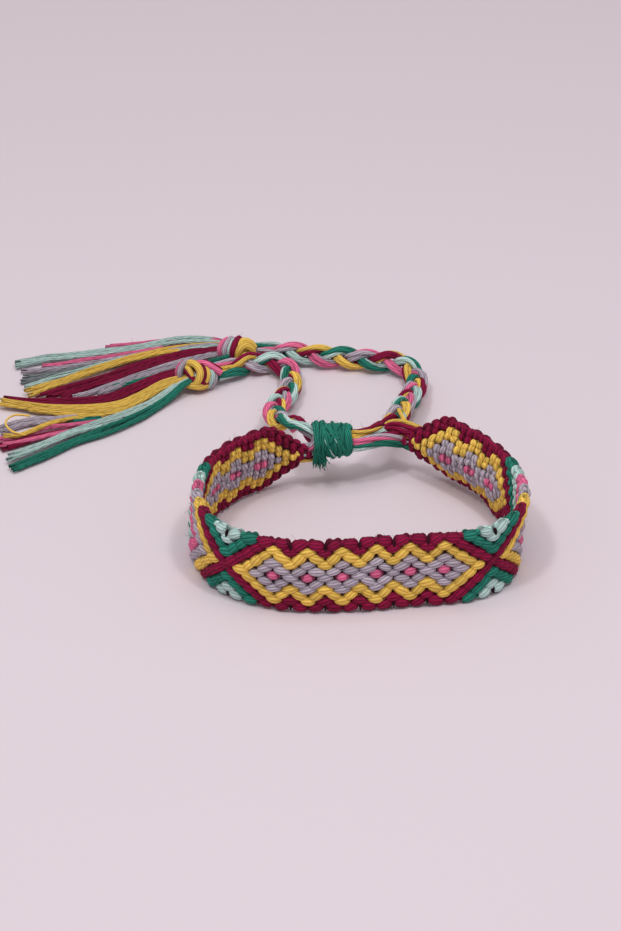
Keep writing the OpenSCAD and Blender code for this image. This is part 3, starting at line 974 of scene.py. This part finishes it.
# A thick bundle over the left end, which falls into the tuft
def bundleOverSlide(skein):
    bundle = slideBundle
    begin, end = bundle["turn"]
    for k in range(bundle["strings"]):
        last = end + chance.uniform(-bundle["turnJitter"], bundle["turnJitter"])
        turn = np.radians(np.linspace(begin, last, bundle["points"]))
        reach = bundle["reach"] + bundle["spread"] * math.sin(bundle["spreadRate"] * k)
        reach = reach + bundle["ripple"] * np.sin(turn * 2 + k)
        along = bundle["start"] + bundle["step"] * k
        along = along + bundle["sway"] * np.sin(turn + bundle["swayRate"] * k)
        path = aroundSlide(along, turn, reach)
        path = path + slowNoise(bundle["points"], bundle["wanderEvery"], bundle["wander"])
        (side, front, drop), (lastSide, lastFront, lastDrop) = bundle["falls"]
        place = k - bundle["strings"] // 2
        half = path[-1] + (side * place, front, drop)
        low = path[-1] + (lastSide * place, lastFront, lastDrop - bundle["longer"] * (k % 3))
        path = np.concatenate([path, throughPoints([path[-1], half, low], 5)[1:]])
        spots = (0, bundle["points"], len(path) - 1)
        taper = np.interp(np.arange(len(path)), spots, (1, 1, bundle["end"]))
        outward = unit(path - aroundSlide(along[len(along) // 2], 0, 0))
        radius = slideFloss["string"] * bundle["string"] * taper
        string(skein, path, radius, "green", outside=bundle["outside"] * outward)


# Loose threads that cross the winding; the thin mint ones also stand as painted highlights on the
# green string
def threadsOverSlide(skein):
    threads = slideThreads
    reach = slideFloss["bore"] + threads["layers"] * slideFloss["string"]
    for begin, end, first, last, colour in threads["paths"]:
        turn = np.radians(np.linspace(begin, end, threads["points"]))
        path = aroundSlide(np.linspace(first, last, threads["points"]), turn, reach)
        path = path + slowNoise(threads["points"], threads["wanderEvery"], threads["wander"])
        string(skein, path, threads["radius"][colour], colour)


def fraySlide(skein):
    tuft = slideTuft
    for k in range(tuft["fibres"]):
        spread = chance.uniform(-1, 1)
        start = chance.uniform(*tuft["roots"])
        root = aroundSlide(start, np.radians(chance.uniform(*tuft["turns"])), tuft["reach"])
        front = -tuft["forward"][0] + chance.normal(0, tuft["jitter"][0])
        half = root + (tuft["spread"][0] * spread, front, -tuft["drop"])
        front = -tuft["forward"][1] + chance.normal(0, tuft["jitter"][1])
        side = tuft["lean"] + tuft["spread"][1] * spread
        low = root + (side, front, -chance.uniform(*tuft["lengths"]))
        path = throughPoints([root, half, low], 6)
        taper = np.linspace(1, tuft["tip"], len(path)) * tuft["fibre"]
        taper = taper * chance.uniform(*tuft["thickness"])
        string(skein, path, taper, "green", sides=5, plies=2)


def makeSlide():
    skein = Skein()
    slideSleeve(skein)
    windSlide(skein)
    bundleOverSlide(skein)
    threadsOverSlide(skein)
    fraySlide(skein)
    fuzz(skein, slideFloss["fuzz"])
    skein.piece("slide_knot_floss", frameSlot["slide_knot"], "slide_knot")


makeSlide()
print("sliding knot wound")


# The tassels: an overhand knot at the end of each tie, and its cut strings. Each string has its
# colour, the height at which it lies, and points across and down the picture.
tasselStrings = {
    "far": [
        ("pink", 1.0, [(217, 340), (188, 339), (163, 341), (134, 344), (105, 347)]),
        ("mint", 1.1, [(219, 340), (180, 338), (139, 346), (92, 352), (49, 357), (15, 363)]),
        ("mint", 0.9, [(219, 342), (180, 342), (139, 349), (92, 355), (49, 360), (16, 366)]),
        ("burgundy", 0.7, [(196, 344), (147, 351), (105, 357), (72, 363), (46, 365)]),
        ("pink", 0.8, [(163, 348), (127, 354), (92, 359), (62, 364), (42, 366)]),
        ("grey", 0.7, [(212, 345), (155, 352), (114, 359), (74, 366), (42, 370), (21, 371)]),
        # the two dark slate strings are painted shade between the far tassel's strings
        ("slate", 0.6, [(204, 346), (152, 355), (111, 362), (70, 370), (39, 376), (23, 377)]),
        ("slate", 0.6, [(147, 357), (106, 365), (65, 373), (34, 380), (21, 382)]),
        ("mint", 0.9, [(216, 346), (163, 352), (124, 359), (85, 369), (54, 378), (25, 387)]),
        ("yellow", 1.4, [(217, 344), (172, 348), (131, 357), (92, 369), (59, 381), (25, 391)]),
        ("yellow", 1.2, [(217, 346), (172, 351), (131, 360), (92, 372), (60, 384), (28, 396)]),
        ("burgundy", 1.3, [(219, 346), (180, 353), (139, 364), (101, 377), (70, 386), (36, 396)]),
        ("burgundy", 1.1, [(219, 348), (180, 355), (139, 368), (105, 380), (74, 390), (47, 397)]),
        ("burgundy", 0.9, [(219, 350), (180, 358), (139, 371), (111, 381), (82, 390), (62, 398)]),
        ("grey", 0.8, [(221, 350), (188, 359), (155, 369), (121, 381), (88, 393), (72, 396)]),
        ("grey", 0.8, [(221, 353), (188, 363), (155, 373), (124, 384), (98, 394)]),
        ("green", 0.7, [(226, 357), (201, 364), (163, 375), (139, 381), (114, 387)]),
    ],
    "near": [
        ("burgundy", 1.5, [
            (181, 370), (163, 374), (139, 383), (114, 394), (85, 399), (57, 400), (25, 400),
            (3, 398),
        ]),
        ("burgundy", 1.3, [
            (181, 372), (163, 377), (139, 386), (114, 397), (85, 402), (57, 403), (25, 402),
            (8, 400),
        ]),
        ("burgundy", 1.1, [
            (181, 374), (160, 380), (136, 391), (111, 401), (82, 404), (54, 405), (29, 404),
        ]),
        ("yellow", 1.5, [
            (181, 377), (163, 382), (144, 392), (121, 402), (98, 406), (69, 407), (41, 406),
            (18, 403), (-3, 399),
        ]),
        ("yellow", 1.3, [
            (181, 378), (163, 385), (144, 395), (121, 405), (98, 409), (69, 410), (41, 409),
            (18, 406), (-3, 403),
        ]),
        ("yellow", 1.1, [
            (181, 380), (160, 388), (139, 400), (118, 409), (95, 413), (69, 413), (49, 412),
            (29, 409),
        ]),
        ("yellow", 0.9, [
            (180, 381), (157, 392), (136, 404), (114, 413), (92, 415), (70, 416), (54, 415),
        ]),
        ("yellow", 1.4, [
            (105, 415), (87, 417), (69, 419), (51, 423), (36, 429), (20, 435), (3, 436),
        ]),
        ("grey", 0.9, [(78, 416), (59, 418), (36, 419), (18, 422), (-2, 428)]),
        ("grey", 0.8, [(75, 418), (54, 421), (33, 423), (18, 426), (0, 432)]),
        ("green", 1.2, [(101, 418), (88, 419), (77, 420), (68, 422)]),
        ("pink", 0.9, [
            (124, 414), (98, 421), (72, 425), (49, 427), (33, 432), (16, 437), (-3, 439),
        ]),
        ("burgundy", 0.9, [
            (124, 418), (101, 424), (77, 429), (54, 433), (33, 437), (16, 442), (-2, 445),
        ]),
        ("burgundy", 0.8, [(114, 422), (88, 428), (62, 433), (39, 438), (20, 444), (2, 449)]),
        ("pink", 1.1, [(69, 431), (46, 436), (25, 441), (10, 444), (-3, 445)]),
        ("mint", 1.3, [
            (182, 380), (167, 391), (150, 402), (127, 412), (98, 422), (69, 432), (41, 444),
            (8, 455),
        ]),
        ("mint", 1.1, [
            (182, 382), (166, 394), (148, 406), (125, 416), (98, 426), (69, 435), (41, 447),
            (7, 460),
        ]),
        ("green", 1.0, [
            (183, 384), (171, 394), (155, 405), (132, 417), (105, 428), (75, 440), (45, 453),
            (10, 467),
        ]),
        ("green", 0.8, [
            (184, 385), (173, 396), (159, 407), (137, 420), (110, 432), (78, 442), (47, 456),
            (13, 470),
        ]),
    ],
}
# The knots' strings as seen from the front: right, up and towards the viewer, from the middle
headStrings = {
    "far": [
        ("pink", 0.6, [(-3.1, -1.6, 0.4), (-3.5, 0, 1.4), (-3, 1.3, 1.2), (-2, 2.1, 0.2)]),
        ("grey", 0.6, [(-2.2, -2, 0.8), (-2.6, -0.2, 2), (-2, 1.3, 1.7), (-1.2, 2.3, 0.6)]),
        ("mint", 0.35, [(-1.6, -2.1, 1), (-1.8, -0.3, 2.3), (-1.3, 1.3, 2), (-0.8, 2.1, 1)]),
        ("burgundy", 0.65, [(-0.9, -2.3, 1), (-1, -0.4, 2.5), (-0.5, 1.3, 2.3), (0.3, 2.3, 0.9)]),
        ("yellow", 0.85, [
            (-0.4, -1.9, 1.3), (0.2, -0.2, 2.4), (1.4, 0.7, 2.2), (2.6, 0, 1.6), (2.8, -1.5, 0.8),
        ]),
        ("yellow", 0.7, [(0.1, 0.6, 2.1), (1, 1.7, 1.7), (2.3, 1.4, 1.2), (3.2, 0.4, 0.6)]),
        ("yellow", 0.7, [(0.2, -1.9, 1.4), (1.2, -1, 2.1), (2.2, -1.3, 1.5)]),
        ("mint", 0.5, [(-2.6, -1.9, 0.6), (-1.4, -2.5, 1.1), (-0.2, -2.5, 1)]),
    ],
    "near": [
        ("pink", 0.5, [(-4.4, -0.9, 0), (-4.6, 0.6, 0.5), (-4, 1.9, 0.4), (-2.9, 2.6, 0)]),
        ("grey", 0.6, [(-3.8, -1.3, 0.4), (-4, 0.4, 1.3), (-3.5, 1.8, 1.2), (-2.4, 2.7, 0.4)]),
        ("burgundy", 0.6, [
            (-2.9, 0.8, 1.2), (-2, 0, 1.8), (-1.3, -1, 2), (0.4, -1.6, 1.9), (1.4, -1.6, 1),
        ]),
        ("yellow", 0.75, [
            (-2.6, 2, 0.6), (-1.8, 2.2, 1.6), (-0.8, 1.7, 2.5), (-0.1, 0.4, 2.8), (-0.4, -1, 2.5),
            (-1.2, -1.9, 1.6),
        ]),
        ("yellow", 0.55, [(-2.9, 1.5, 0.9), (-2.2, 0.9, 1.8), (-1.7, -0.2, 2), (-1.8, -1.3, 1.7)]),
        ("yellow", 0.75, [(-3.3, -1.6, 1), (-1.8, -2.1, 2), (-0.2, -2.3, 1.9), (1.1, -1.9, 1.1)]),
        ("burgundy", 0.4, [(0.1, 2, 1.9), (0.7, 0.8, 2.4), (0.7, -0.6, 2.4), (0.1, -1.7, 2.2)]),
        ("yellow", 0.5, [(0.5, 1.9, 1.5), (1.3, 0.7, 2), (1.3, -0.6, 2), (0.7, -1.8, 1.6)]),
        ("mint", 0.65, [(1, 1.7, 1), (2, 0.4, 1.5), (2, -0.9, 1.3), (1, -2.3, 0.6)]),
        ("grey", 0.5, [(1.9, 1.4, 0.4), (2.7, 0, 0.8), (2.5, -1.4, 0.4), (1.6, -2.4, 0)]),
        ("pink", 0.65, [(-0.7, 2.2, 1), (0.8, 2.1, 1.7), (2.3, 1.3, 1.5), (3.8, 0.3, 0.8)]),
        ("burgundy", 0.45, [(0.6, 2.6, 0.7), (2.2, 1.9, 1), (3.9, 0.9, 0.5)]),
    ],
}
tasselFloss = {
    "fibres": 9, "fibre": 0.18, "bundle": 0.34, "flatter": 0.7, "splay": 1.15, "pitch": 26.0,
    "step": 1.1, "wander": 0.07, "wanderEvery": 7, "calmRoot": 0.4, "aboveTable": 0.02,
    # outside sets the painted shade on each fibre's inner side
    "outside": 0.45, "falls": 0.3, "fuzz": 500,
    # a string that starts so near the head comes out of it
    "nearHead": 6, "intoHead": 0.4,
    # the fine end of a yellow string that curls up: across and down the picture, and height
    "curl": [
        (30, 416, 1.2), (15, 415, 1.6), (6, 421, 2.4), (8, 428, 2.6), (16, 433, 2), (26, 435, 1.4),
    ],
    "curlRadius": 0.2, "curlStep": 0.7,
}
tasselHead = {
    "size": 5.4, "aboveTable": 0.03, "outside": 0.7,
    # strings wound all round close the knot on every side
    "wraps": ("yellow", "grey", "burgundy", "mint", "pink"), "wrapTilts": (-40, 35),
    "wrapRadius": 0.5, "wrapStep": 0.7, "wrapReach": 1.95, "wrapPoints": 36, "wrapLumps": 0.08,
    # wrapOutside sets the painted shade on the wraps' inner sides
    "wrapRounding": 0.5, "wrapOutside": 0.8,
}


def headOf(route):
    ahead = unit((route[-1, :3] - route[-2, :3]) * (1, 1, 0))
    middle = route[-1, :3] + (tasselHead["size"] / 2 + tieShape["seat"]) * ahead
    middle[2] = tasselHead["size"] / 2
    return middle, ahead


# A string of the tassel is a loose bundle of fibres
def fibreBundle(skein, path, colour):
    path = evenSteps(throughPoints(path), tasselFloss["step"])
    _, side, up = carriedFrames(path)
    share = np.linspace(0, 1, len(path))
    radius = tasselFloss["fibre"]
    wide = tasselFloss["bundle"] * (1 + (tasselFloss["splay"] - 1) * share ** 2)
    for k in range(tasselFloss["fibres"]):
        turn = 2 * math.pi * (lengthsOf(path) / tasselFloss["pitch"] + k / tasselFloss["fibres"])
        high = np.sin(turn) * wide * tasselFloss["flatter"]
        offset = side * (np.cos(turn) * wide)[:, None] + up * high[:, None]
        wander = slowNoise(len(path), tasselFloss["wanderEvery"], tasselFloss["wander"])
        line = path + offset + wander * mix(tasselFloss["calmRoot"], 1, share)[:, None]
        line[:, 2] = np.maximum(line[:, 2], radius + tasselFloss["aboveTable"])
        keep = len(line) - int(chance.integers(0, 2))
        outside = tasselFloss["outside"] * unit(offset[:keep])
        string(skein, line[:keep], radius, colour, 6, 3, outside)


def wrapHead(skein, middle, ahead):
    level = np.cross((0, 0, 1), ahead)
    turn = np.linspace(0, 2 * math.pi, tasselHead["wrapPoints"])
    for tilt in tasselHead["wrapTilts"]:
        angle = math.radians(tilt)
        axis = ahead * math.cos(angle) + np.array([0, 0, 1]) * math.sin(angle)
        high = np.cross(axis, level)
        for k, colour in enumerate(tasselHead["wraps"]):
            shift = (k - (len(tasselHead["wraps"]) - 1) / 2) * tasselHead["wrapStep"]
            lower = tasselHead["wrapRounding"] * shift ** 2
            reach = math.sqrt(tasselHead["wrapReach"] ** 2 - lower)
            lump = reach * (1 + tasselHead["wrapLumps"] * np.sin(2 * turn + k + tilt))
            path = middle + axis * shift + level * (lump * np.cos(turn))[:, None]
            path = path + high * (lump * np.sin(turn))[:, None]
            outside = tasselHead["wrapOutside"] * unit(path - middle)
            string(skein, path, tasselHead["wrapRadius"], colour, outside=outside)


def makeHead(skein, name, middle, ahead):
    wrapHead(skein, middle, ahead)
    screenUp = np.array([0, math.sin(lookUp), math.cos(lookUp)])
    towards = np.array([0, -math.cos(lookUp), math.sin(lookUp)])
    for colour, radius, points in headStrings[name]:
        right, rise, near = throughPoints(points).T
        path = middle + right[:, None] * (1, 0, 0)
        path = path + rise[:, None] * screenUp + near[:, None] * towards
        path[:, 2] = np.maximum(path[:, 2], radius + tasselHead["aboveTable"])
        string(skein, path, radius, colour, 10, 9, tasselHead["outside"] * unit(path - middle))


def makeTassel(name, route, node):
    middle, ahead = headOf(route)
    skein = Skein()
    for colour, rest, points in tasselStrings[name]:
        share = np.linspace(0, 1, len(points))
        fall = np.maximum(1 - share / tasselFloss["falls"], 0) ** 2
        start = fromPicture([(*points[0], middle[2])])[0]
        fromHead = np.linalg.norm(start - middle) < tasselFloss["nearHead"]
        height = rest + (middle[2] - rest) * fall * fromHead
        path = fromPicture([(*point, z) for point, z in zip(points, height)])
        if fromHead:
            path = np.concatenate([[mix(middle, path[0], tasselFloss["intoHead"])], path])
        fibreBundle(skein, path, colour)
    if name == "near":
        path = evenSteps(throughPoints(fromPicture(tasselFloss["curl"])), tasselFloss["curlStep"])
        string(skein, path, tasselFloss["curlRadius"], "yellow", 6, 3)
    makeHead(skein, name, middle, ahead)
    fuzz(skein, tasselFloss["fuzz"])
    skein.piece(node + "_floss", frameSlot[node], node)


makeTassel("far", leftRoute, "far_tassel")
makeTassel("near", rightRoute, "near_tassel")
print("tassels cut")


# Table, light and camera. Two small lamps stand high in front, one at each side, under a broad
# soft one. A lamp has its place and size in metres and its power in watts.
studio = {
    "board": "#e1d6dd", "boardRoughness": 0.8, "boardSpecular": 0.1, "boardSize": 3.0,
    "lamps": {
        "leftLamp": ((-0.154, -0.19, 0.548), 0.06, 0.55),
        "rightLamp": ((0.154, -0.19, 0.548), 0.06, 0.55),
        "topLamp": ((0, -0.1, 0.8), 0.7, 2.2),
    },
    "sky": "#fff6f8", "skyStrength": 0.42,
}


# A painted board: smooth, matt and even
def boardMaterial():
    material = bpy.data.materials.new("pinkishWhiteBoard")
    material.use_nodes = True
    shader = material.node_tree.nodes["Principled BSDF"]
    shader.inputs["Base Color"].default_value = linear(studio["board"])
    shader.inputs["Roughness"].default_value = studio["boardRoughness"]
    shader.inputs["Specular IOR Level"].default_value = studio["boardSpecular"]
    return material


# A lamp that is aimed at the middle of the table
def areaLight(name, place, size, power):
    light = bpy.data.lights.new(name, "AREA")
    light.size = size
    light.energy = power
    lamp = bpy.data.objects.new(name, light)
    bpy.context.collection.objects.link(lamp)
    lamp.location = place
    aim = -np.array(place)
    lamp.rotation_euler = (
        math.atan2(math.hypot(aim[0], aim[1]), -aim[2]), 0, math.atan2(aim[1], aim[0]) - math.pi / 2
    )


def makeStudio():
    deselectAll()
    bpy.ops.mesh.primitive_plane_add(size=studio["boardSize"])
    floor = bpy.context.object
    floor.name = "table"
    floor.data.materials.append(boardMaterial())
    for name, (place, size, power) in studio["lamps"].items():
        areaLight(name, place, size, power)
    world = bpy.data.worlds.new("softbox")
    world.use_nodes = True
    background = world.node_tree.nodes["Background"]
    background.inputs["Color"].default_value = linear(studio["sky"])
    background.inputs["Strength"].default_value = studio["skyStrength"]
    bpy.context.scene.world = world
    bpy.context.scene.view_settings.view_transform = "Standard"  # keeps the floss's strong colours


def makeCamera():
    data = bpy.data.cameras.new("camera")
    data.sensor_fit = "VERTICAL"
    data.sensor_height = photoView["film"]
    data.lens = photoView["focalPixels"] * photoView["film"] / photoView["picture"][1]
    camera = bpy.data.objects.new("camera", data)
    bpy.context.collection.objects.link(camera)
    away = photoView["distance"] * np.array([0, -math.cos(lookUp), math.sin(lookUp)])
    camera.location = placed(away) * mm
    camera.rotation_euler = (math.pi / 2 - lookUp, 0, 0)
    bpy.context.scene.camera = camera


makeStudio()
makeCamera()
print("studio lit")
